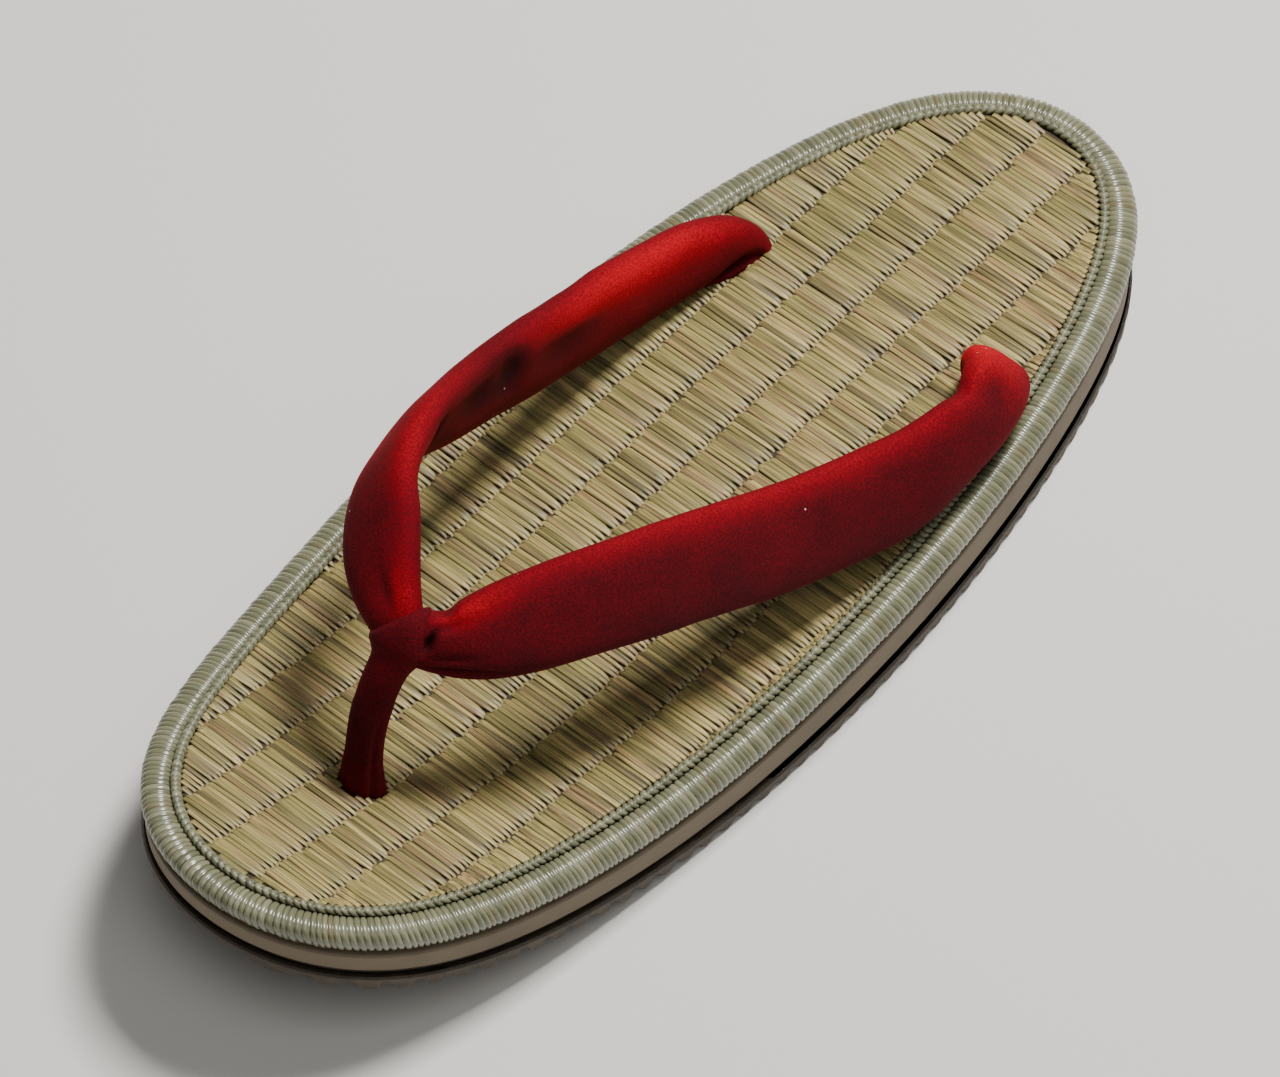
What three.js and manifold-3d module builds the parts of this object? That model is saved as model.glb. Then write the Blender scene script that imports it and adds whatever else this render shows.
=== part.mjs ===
// A straw sandal with a padded velvet thong, in millimetres.
// +Y points to the toe, +X to the wearer's right and +Z up. Z 0 is the floor, under the middle of the sole.
import * as THREE from "three";
import { LoftGeometry } from "three/addons/geometries/LoftGeometry.js";
import { mergeVertices } from "three/addons/utils/BufferGeometryUtils.js";
import Module from "manifold-3d";

const wasm = await Module();
wasm.setup();

// The space left between two pieces that meet
const GAP = 0.3;

// The woven mat's outline: half its length, how far its widest place leans to the toe, how blunt its ends are
const MAT_HALF_LENGTH = 113;
const MAT_LEAN = 1.5;
const MAT_BLUNTNESS = -1.5;
// Its width as sine terms of the angle round it: half the width, toe fullness, then how square the sides are
const MAT_WIDTH_TERMS = [40.2, 1.5, 1.45, 0.45, 0.65];
// How far the heel's end swings to the wearer's left
const HEEL_SWING = 2.2;
const OUTLINE_STEPS = 80;

// The sole from the side: thickness at its middle, how fast it thins to the toe, and the toe spring
const SOLE_THICKNESS = 19.4;
const SOLE_TAPER = 0.022;
const SPRING_START = 22.6;
const SPRING_REACH = 90.4;
const SPRING_RISE = 19.2;

// The outsole: its full height, the recessed step above its side, and its cross ribs.
// A groove between two ribs has a width at the underside, a width at its floor, and a length past both sides.
const OUTSOLE_HEIGHT = 4.6;
const OUTSOLE_SIDE_HEIGHT = 3.5;
const OUTSOLE_REACH = 7.7;
const OUTSOLE_STEP_INSET = 1.4;
const RIB_PITCH = 4.9;
const RIB_COUNT = 48;
const RIB_DEPTH = 1.6;
const GROOVE_MOUTH = 3.2;
const GROOVE_FLOOR = 1.2;
const GROOVE_LENGTH = 160;

// The midsole: how far its side reaches beyond the mat
const MIDSOLE_REACH = 7.0;

// The edge roll and the inner welt: radius, centre beyond the mat's outline, and centre below the mat's top
const EDGE_ROLL = { radius: 3.1, beyond: 4.45, below: 3.7, sides: 12 };
const INNER_WELT = { radius: 1.3, beyond: 1.3, below: 0.2, sides: 8 };

// The footbed: its depth, its ledge under the welt, and the valleys of its woven columns
const FOOTBED_DEPTH = 6.9;
const FOOTBED_REACH = 1.0;
const FOOTBED_LEDGE = 1.9;
const FOOTBED_RIM_INSET = 0.35;
const COLUMN_PITCH = 10.5;
const COLUMN_SHIFT = 3.7;
const COLUMN_SKEW = 0.028;
const VALLEYS_EACH_SIDE = 4;
const VALLEY_WIDTH = 1.8;
const VALLEY_DEPTH = 0.7;
const VALLEY_REACH = 124;
const VALLEY_STEPS = 20;
const HOLE_CLEARANCE = 0.6;

// The thong from the left hole, over the toes, to the right hole: a row for each section of the padded strap.
// rise is above the mat's flat plane, and tilt turns the face from lying flat (0) to standing on edge (90).
const STRAP_SECTIONS = [
  { x: -27.6, y: -61.6, rise: -4.2, width: 9.4, thick: 6.0, tilt: 14 },
  { x: -28.2, y: -60.8, rise: 0.8, width: 10.6, thick: 6.6, tilt: 16 },
  { x: -31.0, y: -58.0, rise: 8.2, width: 13.6, thick: 7.2, tilt: 31 },
  { x: -34.2, y: -53.0, rise: 11.2, width: 14.5, thick: 7.2, tilt: 46 },
  { x: -36.2, y: -44.4, rise: 12.1, width: 15.5, thick: 7.0, tilt: 60 },
  { x: -36.0, y: -32.0, rise: 12.6, width: 18, thick: 7.0, tilt: 60 },
  { x: -34.2, y: -20.6, rise: 14.0, width: 19.5, thick: 7.0, tilt: 57 },
  { x: -30.0, y: 0.0, rise: 20.4, width: 19.5, thick: 7.0, tilt: 54 },
  { x: -25.3, y: 20.0, rise: 28.8, width: 19.5, thick: 7.0, tilt: 52 },
  { x: -19.6, y: 38.5, rise: 34.6, width: 19, thick: 7.0, tilt: 50 },
  { x: -12.2, y: 54.5, rise: 36.6, width: 17, thick: 7.4, tilt: 50 },
  { x: -6.2, y: 63.2, rise: 36.8, width: 11.8, thick: 7.2, tilt: 52 },
  { x: 0.0, y: 67.0, rise: 36.6, width: 9.5, thick: 6.6, tilt: 54 },
  { x: 6.2, y: 64.8, rise: 39.4, width: 12.5, thick: 7.2, tilt: 50 },
  { x: 13.6, y: 58.0, rise: 44.2, width: 16.8, thick: 7.2, tilt: 50 },
  { x: 19.6, y: 50.5, rise: 46.0, width: 16.8, thick: 7.0, tilt: 56 },
  { x: 24.0, y: 38.0, rise: 42.8, width: 17.4, thick: 7.0, tilt: 70 },
  { x: 26.6, y: 21.5, rise: 34.1, width: 18.4, thick: 7.0, tilt: 85 },
  { x: 27.8, y: 7.0, rise: 27.2, width: 19, thick: 7.0, tilt: 91 },
  { x: 28.6, y: -6.6, rise: 20.6, width: 19, thick: 7.0, tilt: 93 },
  { x: 29.2, y: -19.0, rise: 15.6, width: 18.5, thick: 7.2, tilt: 96 },
  { x: 29.0, y: -30.5, rise: 11.2, width: 16.5, thick: 7.4, tilt: 100 },
  { x: 28.2, y: -40.5, rise: 8.4, width: 14.8, thick: 7.6, tilt: 106 },
  { x: 26.8, y: -48.2, rise: 5.2, width: 13.5, thick: 7.6, tilt: 102 },
  { x: 25.6, y: -53.4, rise: 0.3, width: 12.5, thick: 7.0, tilt: 92 },
  { x: 25.0, y: -55.0, rise: -4.2, width: 12, thick: 6.2, tilt: 88 },
];
const STEPS_PER_ROW = 3;
const STRAP_STEPS = STEPS_PER_ROW * (STRAP_SECTIONS.length - 1);
const STRAP_SIDES = 14;
// 2 is a true oval and more is a squarer one
const STRAP_SQUARENESS = 2.5;
const ROUND = 2;
const KNOT_ROW = 12;

// The toe post: a row for each section of the folded cloth, from inside the footbed up to the thong
const POST_SECTIONS = [
  { x: -1.0, y: 80.6, rise: 2.2, width: 7.8, thick: 6.6 },
  { x: -0.8, y: 80.8, rise: 8.2, width: 8.2, thick: 7.0 },
  { x: -0.2, y: 79.5, rise: 14.5, width: 7.0, thick: 6.2 },
  { x: 0.5, y: 77.0, rise: 22.5, width: 7.0, thick: 6.2 },
  { x: 0.6, y: 72.8, rise: 30.5, width: 7.6, thick: 6.4 },
  { x: 0.0, y: 68.6, rise: 35.5, width: 8.4, thick: 6.6 },
];
const POST_STEPS = 12;
const POST_SIDES = 12;
// The post's cloth goes round the thong's knot: its thickness there, and the strap steps it covers each way
const LOOP_THICKNESS = 1.7;
const LOOP_STEPS = 2;
const LOOP_ROOM_STEPS = 8;
const LOOP_CLEARANCE = 0.5;

const ACROSS = new THREE.Vector3(1, 0, 0);
const ALONG = new THREE.Vector3(0, 1, 0);
const UP = new THREE.Vector3(0, 0, 1);

// How far the sole's underside is off the floor at a place along the sandal.
function springAt(y) {
  const share = Math.max(0, (y - SPRING_START) / SPRING_REACH);
  return SPRING_RISE * share * share;
}

// The height of the mat's flat plane, before the toe spring.
function flatPlaneAt(y) {
  return SOLE_THICKNESS - SOLE_TAPER * y;
}

// A height above the underside, following the toe spring.
function fromUnderside(height) {
  return (y) => springAt(y) + height;
}

// A height measured up from the mat's top, following the taper and the toe spring.
function fromMatTop(height) {
  return (y) => springAt(y) + flatPlaneAt(y) + height;
}

// A point of the mat's outline in plan, moved straight out from the edge by some distance.
function outlineAt(angle, beyond) {
  const point = new THREE.Vector2(
    MAT_WIDTH_TERMS.reduce((sum, size, index) => sum + size * Math.sin((index + 1) * angle), 0),
    (MAT_HALF_LENGTH - MAT_BLUNTNESS) * Math.cos(angle) +
      MAT_LEAN * (Math.cos(2 * angle) - 1) +
      MAT_BLUNTNESS * Math.cos(3 * angle),
  );
  const acrossRate = MAT_WIDTH_TERMS.reduce(
    (sum, size, index) => sum + size * (index + 1) * Math.cos((index + 1) * angle),
    0,
  );
  const alongRate =
    -(MAT_HALF_LENGTH - MAT_BLUNTNESS) * Math.sin(angle) -
    2 * MAT_LEAN * Math.sin(2 * angle) -
    3 * MAT_BLUNTNESS * Math.sin(3 * angle);
  const outward = new THREE.Vector2(-alongRate, acrossRate).normalize();
  point.addScaledVector(outward, beyond);
  const heelShare = Math.min(0, point.y / MAT_HALF_LENGTH);
  point.x -= HEEL_SWING * heelShare * heelShare;
  return point;
}

// The angle of one step round the outline, from the toe by the wearer's left to the heel and back.
function outlineAngle(step) {
  return (-2 * Math.PI * step) / OUTLINE_STEPS;
}

// A closed geometry as a solid: shared corners are merged and faces with no area are left out.
function solidFrom(geometry) {
  const bare = new THREE.BufferGeometry();
  bare.setAttribute("position", geometry.getAttribute("position"));
  bare.setIndex(geometry.index);
  const merged = mergeVertices(bare);
  const corners = merged.index.array;
  const kept = [];
  for (let i = 0; i < corners.length; i += 3) {
    const [a, b, c] = corners.slice(i, i + 3);
    if (a !== b && b !== c && c !== a) kept.push(a, b, c);
  }
  const vertProperties = new Float32Array(merged.attributes.position.array);
  const triVerts = new Uint32Array(kept);
  return new wasm.Manifold(new wasm.Mesh({ numProp: 3, vertProperties, triVerts }));
}

// A solid as a mesh with a name and a plain finish.
function meshFrom(name, solid, color, roughness) {
  const { vertProperties, triVerts } = solid.getMesh();
  const geometry = new THREE.BufferGeometry();
  geometry.setAttribute("position", new THREE.BufferAttribute(vertProperties, 3));
  geometry.setIndex(new THREE.BufferAttribute(triVerts, 1));
  geometry.computeVertexNormals();
  const material = new THREE.MeshStandardMaterial({ color, roughness, metalness: 0 });
  const mesh = new THREE.Mesh(geometry, material);
  mesh.name = name;
  return mesh;
}

// A layer of the sole. An edge row is a distance beyond the mat and a height; the faces run to the middle line.
function layerSolid(edges) {
  const ringAt = (edge, inward) =>
    Array.from({ length: OUTLINE_STEPS }, (_, step) => {
      const point = outlineAt(outlineAngle(step), edge.beyond);
      return new THREE.Vector3(point.x * inward, point.y, edge.height(point.y));
    });
  const first = edges[0];
  const last = edges[edges.length - 1];
  const rings = [ringAt(first, 0), ...edges.map((edge) => ringAt(edge, 1)), ringAt(last, 0)];
  return solidFrom(new LoftGeometry(rings));
}

// A round cord that follows the mat's edge all the way round.
function edgeCord({ radius, beyond, below, sides }) {
  const sections = [];
  for (let step = 0; step <= OUTLINE_STEPS; step += 1) {
    const angle = outlineAngle(step % OUTLINE_STEPS);
    const ring = Array.from({ length: sides }, (_, side) => {
      const turn = (-2 * Math.PI * side) / sides;
      const point = outlineAt(angle, beyond + radius * Math.cos(turn));
      const height = fromMatTop(radius * Math.sin(turn) - below);
      return new THREE.Vector3(point.x, point.y, height(point.y));
    });
    sections.push(ring);
  }
  return solidFrom(new LoftGeometry(sections));
}

// The outsole: its side, the recessed step above it, and ribs across its underside.
function outsoleSolid() {
  const stepReach = OUTSOLE_REACH - OUTSOLE_STEP_INSET;
  let outsole = layerSolid([
    { beyond: OUTSOLE_REACH, height: fromUnderside(0) },
    { beyond: OUTSOLE_REACH, height: fromUnderside(OUTSOLE_SIDE_HEIGHT) },
    { beyond: stepReach, height: fromUnderside(OUTSOLE_SIDE_HEIGHT) },
    { beyond: stepReach, height: fromUnderside(OUTSOLE_HEIGHT) },
  ]);
  const crossways = new THREE.Matrix4().makeBasis(ALONG, UP, ACROSS);
  const wide = GROOVE_MOUTH - GROOVE_FLOOR / 2;
  for (let rib = 0; rib < RIB_COUNT; rib += 1) {
    const y = (rib - (RIB_COUNT - 1) / 2) * RIB_PITCH;
    const slope = (springAt(y + RIB_PITCH) - springAt(y - RIB_PITCH)) / (2 * RIB_PITCH);
    const groove = new THREE.Shape([
      new THREE.Vector2(-wide, -RIB_DEPTH),
      new THREE.Vector2(wide, -RIB_DEPTH),
      new THREE.Vector2(GROOVE_FLOOR / 2, RIB_DEPTH),
      new THREE.Vector2(-GROOVE_FLOOR / 2, RIB_DEPTH),
    ]);
    const cutter = new THREE.ExtrudeGeometry(groove, { depth: GROOVE_LENGTH, bevelEnabled: false });
    cutter.translate(0, 0, -GROOVE_LENGTH / 2);
    cutter.rotateZ(Math.atan(slope));
    cutter.applyMatrix4(crossways);
    cutter.translate(0, y, springAt(y));
    outsole = outsole.subtract(solidFrom(cutter));
  }
  return outsole;
}

// The foam midsole, a plain wedge that thins to the toe.
function midsoleSolid() {
  return layerSolid([
    { beyond: MIDSOLE_REACH, height: fromUnderside(OUTSOLE_HEIGHT + GAP) },
    { beyond: MIDSOLE_REACH, height: fromMatTop(-FOOTBED_DEPTH - GAP) },
  ]);
}

// One valley between two woven columns, a wedge that follows the mat's top from heel to toe.
function valleySolid(x) {
  const sections = [];
  for (let step = 0; step <= VALLEY_STEPS; step += 1) {
    const y = VALLEY_REACH * ((2 * step) / VALLEY_STEPS - 1);
    const middle = x + COLUMN_SKEW * y;
    const top = fromMatTop(VALLEY_DEPTH)(y);
    const bottom = fromMatTop(-VALLEY_DEPTH)(y);
    sections.push([
      new THREE.Vector3(middle, y, bottom),
      new THREE.Vector3(middle - VALLEY_WIDTH, y, top),
      new THREE.Vector3(middle + VALLEY_WIDTH, y, top),
    ]);
  }
  return solidFrom(new LoftGeometry(sections, { capStart: true, capEnd: true }));
}

// The section ring of a padded strip: a rounded oblong, grown on all sides by some distance.
function paddedRing(section, widthWay, thickWay, grow, sides, squareness) {
  return Array.from({ length: sides }, (_, side) => {
    const turn = (-2 * Math.PI * side) / sides;
    const rounded = (value) => Math.sign(value) * Math.abs(value) ** (2 / squareness);
    return section.centre
      .clone()
      .addScaledVector(widthWay, (section.width / 2 + grow) * rounded(Math.cos(turn)))
      .addScaledVector(thickWay, (section.thick / 2 + grow) * rounded(Math.sin(turn)));
  });
}

// A section part of the way along a table, with its centre line's point and direction.
function sectionAt(table, share) {
  const curve = new THREE.CatmullRomCurve3(
    table.map((row) => new THREE.Vector3(row.x, row.y, flatPlaneAt(row.y) + row.rise)),
  );
  const place = share * (table.length - 1);
  const index = Math.min(Math.floor(place), table.length - 2);
  const blend = THREE.MathUtils.smootherstep(place - index, 0, 1);
  const [from, to] = [table[index], table[index + 1]];
  const mixed = (key) => THREE.MathUtils.lerp(from[key], to[key], blend);
  return {
    centre: curve.getPoint(share),
    way: curve.getTangent(share),
    width: mixed("width"),
    thick: mixed("thick"),
    mixed,
  };
}

// The thong between two of its steps, grown on its sides and lengthened at its ends. Its face leans inwards.
function thongSolid(firstStep, lastStep, grow, lengthen) {
  const rings = [];
  for (let step = firstStep; step <= lastStep; step += 1) {
    const section = sectionAt(STRAP_SECTIONS, step / STRAP_STEPS);
    const inward = new THREE.Vector3().crossVectors(section.way, UP).normalize();
    const above = new THREE.Vector3().crossVectors(inward, section.way);
    const tilt = THREE.MathUtils.degToRad(section.mixed("tilt"));
    const widthWay = inward.clone().multiplyScalar(Math.cos(tilt));
    widthWay.addScaledVector(above, Math.sin(tilt));
    const thickWay = new THREE.Vector3().crossVectors(widthWay, section.way);
    if (step === firstStep) section.centre.addScaledVector(section.way, -lengthen);
    if (step === lastStep) section.centre.addScaledVector(section.way, lengthen);
    rings.push(paddedRing(section, widthWay, thickWay, grow, STRAP_SIDES, STRAP_SQUARENESS));
  }
  return solidFrom(new LoftGeometry(rings, { capStart: true, capEnd: true }));
}

// The post's folded cloth, grown on its sides and lengthened at its ends.
function postSolid(grow, lengthen) {
  const rings = [];
  for (let step = 0; step <= POST_STEPS; step += 1) {
    const section = sectionAt(POST_SECTIONS, step / POST_STEPS);
    const thickWay = new THREE.Vector3().crossVectors(ACROSS, section.way).normalize();
    if (step === 0) section.centre.addScaledVector(section.way, -lengthen);
    if (step === POST_STEPS) section.centre.addScaledVector(section.way, lengthen);
    rings.push(paddedRing(section, ACROSS, thickWay, grow, POST_SIDES, ROUND));
  }
  return solidFrom(new LoftGeometry(rings, { capStart: true, capEnd: true }));
}

// The toe post: it stands in the footbed and its cloth goes round the thong's knot.
function toePostSolid() {
  const knot = KNOT_ROW * STEPS_PER_ROW;
  const wrap = thongSolid(knot - LOOP_STEPS, knot + LOOP_STEPS, GAP + LOOP_THICKNESS, 0);
  const room = thongSolid(knot - LOOP_ROOM_STEPS, knot + LOOP_ROOM_STEPS, LOOP_CLEARANCE, 0);
  return postSolid(0, 0).add(wrap).subtract(room);
}

// The footbed: the woven mat on its core, with valleys between its columns and holes for the thong.
function footbedSolid() {
  let footbed = layerSolid([
    { beyond: FOOTBED_REACH, height: fromMatTop(-FOOTBED_DEPTH) },
    { beyond: FOOTBED_REACH, height: fromMatTop(-FOOTBED_LEDGE) },
    { beyond: -FOOTBED_RIM_INSET, height: fromMatTop(-FOOTBED_LEDGE) },
    { beyond: -FOOTBED_RIM_INSET, height: fromMatTop(0) },
  ]);
  for (let column = -VALLEYS_EACH_SIDE; column < VALLEYS_EACH_SIDE; column += 1) {
    footbed = footbed.subtract(valleySolid(COLUMN_SHIFT + column * COLUMN_PITCH));
  }
  const thongRoom = thongSolid(0, STRAP_STEPS, HOLE_CLEARANCE, HOLE_CLEARANCE);
  const postRoom = postSolid(HOLE_CLEARANCE, HOLE_CLEARANCE);
  return footbed.subtract(thongRoom).subtract(postRoom);
}

const sandal = new THREE.Group();
sandal.add(meshFrom("outsole", outsoleSolid(), 0x6f6152, 0.9));
sandal.add(meshFrom("midsole", midsoleSolid(), 0xb09a78, 0.85));
sandal.add(meshFrom("footbed", footbedSolid(), 0xa3966a, 0.7));
sandal.add(meshFrom("edge_roll", edgeCord(EDGE_ROLL), 0x949b82, 0.4));
sandal.add(meshFrom("inner_welt", edgeCord(INNER_WELT), 0x8f9274, 0.5));
sandal.add(meshFrom("thong_upper", thongSolid(0, STRAP_STEPS, 0, 0), 0xb0101e, 0.95));
sandal.add(meshFrom("toe_post", toePostSolid(), 0x8c0c18, 0.95));

export default sandal;
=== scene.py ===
"""A straw sandal with a woven rush footbed and a padded red velvet thong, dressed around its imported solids.

Shapes are worked out in millimetres, with +Y to the toe, +X to the wearer's right and +Z up. They are
turned to metres as each piece is finished.
"""

import bisect
import logging
import math
import random
from collections.abc import Callable, Sequence
from dataclasses import dataclass, field
from enum import Enum

import bmesh
import bpy
from bmesh.types import BMFace, BMesh
from bpy.types import ID, Material, Mesh, Node, NodeSocket, NodeTree, Object
from mathutils import Matrix, Vector, noise


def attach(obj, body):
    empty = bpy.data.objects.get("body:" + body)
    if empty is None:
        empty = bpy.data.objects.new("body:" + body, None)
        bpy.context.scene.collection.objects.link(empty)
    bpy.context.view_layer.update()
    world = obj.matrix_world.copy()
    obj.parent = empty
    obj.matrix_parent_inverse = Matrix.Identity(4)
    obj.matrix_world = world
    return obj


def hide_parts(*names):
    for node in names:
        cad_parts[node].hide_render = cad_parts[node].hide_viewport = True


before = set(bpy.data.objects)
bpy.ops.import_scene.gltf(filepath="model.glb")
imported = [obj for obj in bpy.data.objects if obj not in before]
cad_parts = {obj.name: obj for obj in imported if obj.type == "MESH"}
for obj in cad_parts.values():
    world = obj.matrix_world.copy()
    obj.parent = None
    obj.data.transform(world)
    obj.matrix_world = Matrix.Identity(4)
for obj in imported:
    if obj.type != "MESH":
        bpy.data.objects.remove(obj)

LOG = logging.getLogger("straw_sandal")
METRES_PER_MM = 0.001
WELD_DISTANCE = 0.002
GRID_HALF = 0.5
HALVINGS = 30
FOLD_END = 3.0
STAIN_REACH = (0.5, 0.75)
BODY = "root"
UP = Vector((0.0, 0.0, 1.0))
ACROSS = Vector((1.0, 0.0, 0.0))
Colour = tuple[float, float, float, float]


class WidthWay(Enum):
    """Which way the width of a padded strip lies."""

    TILTED = "tilted"
    LEVEL = "level"


def linear(hex_colour: str) -> Colour:
    """Turns an sRGB hex colour to linear light.

    Args:
        hex_colour: A colour such as "#a08050".

    Returns:
        Linear red, green and blue, with a full alpha.
    """
    channels = [int(hex_colour[place : place + 2], 16) / 255 for place in (1, 3, 5)]
    light = [c / 12.92 if c <= 0.04045 else ((c + 0.055) / 1.055) ** 2.4 for c in channels]
    return (light[0], light[1], light[2], 1.0)


def add_node(
    tree: NodeTree,
    kind: str,
    settings: dict[str, object] | None = None,
    inputs: dict[str | int, object] | None = None,
    stops: Sequence[tuple[float, str]] = (),
) -> Node:
    """Adds one shader node with its settings and links.

    Args:
        tree: The node tree that gets the node.
        kind: The node's type name.
        settings: Values for the node's own properties.
        inputs: Values or sockets for the node's inputs, by name or number.
        stops: Places and sRGB colours for a node that has a colour ramp.

    Returns:
        The new node.
    """
    node = tree.nodes.new(kind)
    for name, value in (settings or {}).items():
        setattr(node, name, value)
    for name, value in (inputs or {}).items():
        if isinstance(value, NodeSocket):
            tree.links.new(value, node.inputs[name])
        else:
            node.inputs[name].default_value = value
    for index, (place, colour) in enumerate(stops):
        elements = node.color_ramp.elements
        stop = elements[index] if index < len(elements) else elements.new(place)
        stop.position = place
        stop.color = linear(colour)
    return node


def per_metre(size_mm: float) -> float:
    """Gives how many times a size in millimetres goes into a metre."""
    return 1.0 / (size_mm * METRES_PER_MM)


def settled(shape: BMesh, name: str) -> Mesh:
    """Turns a mesh that is being edited to a finished one.

    Args:
        shape: The edited mesh, which is freed.
        name: The finished mesh's name.

    Returns:
        The finished mesh.
    """
    mesh = bpy.data.meshes.new(name)
    shape.to_mesh(mesh)
    shape.free()
    return mesh


def add_object(name: str, data: ID) -> Object:
    """Adds an object to the scene.

    Args:
        name: The object's name.
        data: Its mesh, light or camera.

    Returns:
        The new object.
    """
    thing = bpy.data.objects.new(name, data)
    bpy.context.scene.collection.objects.link(thing)
    return thing


def smooth_step(low: float, high: float, value: float) -> float:
    """Rises smoothly from 0 at low to 1 at high."""
    share = min(1.0, max(0.0, (value - low) / (high - low)))
    return share * share * (3.0 - 2.0 * share)


def mapped_grid(
    across: int,
    along: int,
    place: Callable[[float, float], Vector],
    pattern: Callable[[float, float], tuple[float, float]],
) -> BMesh:
    """Makes a grid and moves each corner to its place, with a pattern map that goes with it.

    Args:
        across: The number of faces across.
        along: The number of faces along.
        place: Gives a corner's place from its shares across and along.
        pattern: Gives a corner's pattern coordinates from the same shares.

    Returns:
        The mesh, with corners that fall together made one.
    """
    shape = bmesh.new()
    weave_map = shape.loops.layers.uv.new("strand")
    bmesh.ops.create_grid(shape, x_segments=across, y_segments=along, size=GRID_HALF)
    for face in shape.faces:
        for loop in face.loops:
            spot = loop.vert.co
            loop[weave_map].uv = pattern(spot.x + GRID_HALF, spot.y + GRID_HALF)
    for vert in shape.verts:
        vert.co = place(vert.co.x + GRID_HALF, vert.co.y + GRID_HALF)
    bmesh.ops.remove_doubles(shape, verts=shape.verts, dist=WELD_DISTANCE)
    return shape


def close_ends(shape: BMesh) -> None:
    """Closes the open ends of a tube."""
    open_edges = [edge for edge in shape.edges if edge.is_boundary]
    bmesh.ops.holes_fill(shape, edges=open_edges, sides=0)


@dataclass(frozen=True)
class Overlay:
    """A tone that is laid over a colour, from none at the start of a reach of values to most at its end."""

    tone: str
    reach: tuple[float, float] = (0.0, 1.0)
    most: float = 1.0

    def lay(self, tree: NodeTree, base: NodeSocket | Colour, value: NodeSocket) -> NodeSocket:
        """Lays the tone over a colour.

        Args:
            tree: The node tree that gets the nodes.
            base: The colour below.
            value: The value that says where the tone shows.

        Returns:
            The new colour.
        """
        low, high = self.reach
        share = add_node(
            tree,
            "ShaderNodeMapRange",
            inputs={"Value": value, "From Min": low, "From Max": high, "To Max": self.most},
        )
        mix = add_node(
            tree,
            "ShaderNodeMix",
            {"data_type": "RGBA"},
            {"Factor": share.outputs["Result"], "A": base, "B": linear(self.tone)},
        )
        return mix.outputs["Result"]


@dataclass(frozen=True)
class Shading:
    """Darker and lighter places in a colour: what it is multiplied by at both ends of a reach of values."""

    reach: tuple[float, float]
    shares: tuple[float, float]

    def lay(self, tree: NodeTree, base: NodeSocket, value: NodeSocket) -> NodeSocket:
        """Shades a colour.

        Args:
            tree: The node tree that gets the nodes.
            base: The colour below.
            value: The value that says how dark or light each place is.

        Returns:
            The new colour.
        """
        low, high = self.reach
        dark, light = self.shares
        share = add_node(
            tree,
            "ShaderNodeMapRange",
            inputs={"Value": value, "From Min": low, "From Max": high, "To Min": dark, "To Max": light},
        )
        mix = add_node(
            tree,
            "ShaderNodeMix",
            {"data_type": "RGBA", "blend_type": "MULTIPLY"},
            {"Factor": 1.0, "A": base, "B": share.outputs["Result"]},
        )
        return mix.outputs["Result"]


def tone_by_number(tree: NodeTree, place: NodeSocket, tones: Sequence[tuple[float, str]]) -> NodeSocket:
    """Draws one tone for each strand or turn.

    Args:
        tree: The node tree that gets the nodes.
        place: The number of the strand or turn, with a share over it.
        tones: The tones to draw from, with their places from 0 to 1.

    Returns:
        The colour.
    """
    number = add_node(tree, "ShaderNodeMath", {"operation": "FLOOR"}, {0: place})
    draw = add_node(tree, "ShaderNodeTexWhiteNoise", {"noise_dimensions": "1D"}, {"W": number.outputs[0]})
    tone = add_node(tree, "ShaderNodeValToRGB", inputs={"Fac": draw.outputs["Value"]}, stops=tones)
    return tone.outputs["Color"]


@dataclass(frozen=True, kw_only=True)
class Finish:
    """A surface finish: the real material, and how it is shaded."""

    name: str
    roughness: float
    bump_mm: float
    bump_strength: float = 0.5

    def make(self) -> Material:
        """Makes the material.

        Returns:
            A new material with its nodes.
        """
        material = bpy.data.materials.new(self.name)
        material.use_nodes = True
        tree = material.node_tree
        self.paint(tree, tree.nodes["Principled BSDF"])
        return material

    def paint(self, tree: NodeTree, shader: Node) -> None:
        """Sets the shader and links the pattern to it."""
        raise NotImplementedError

    def cover(self, tree: NodeTree, shader: Node, colour: NodeSocket, height: NodeSocket) -> None:
        """Gives the shader its colour, its roughness and its fine relief.

        Args:
            tree: The material's node tree.
            shader: Its shader.
            colour: The finished colour.
            height: The height of the relief.
        """
        depth = self.bump_mm * METRES_PER_MM
        bump = add_node(
            tree,
            "ShaderNodeBump",
            inputs={"Height": height, "Strength": self.bump_strength, "Distance": depth},
        )
        shader.inputs["Roughness"].default_value = self.roughness
        tree.links.new(colour, shader.inputs["Base Color"])
        tree.links.new(bump.outputs["Normal"], shader.inputs["Normal"])


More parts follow.
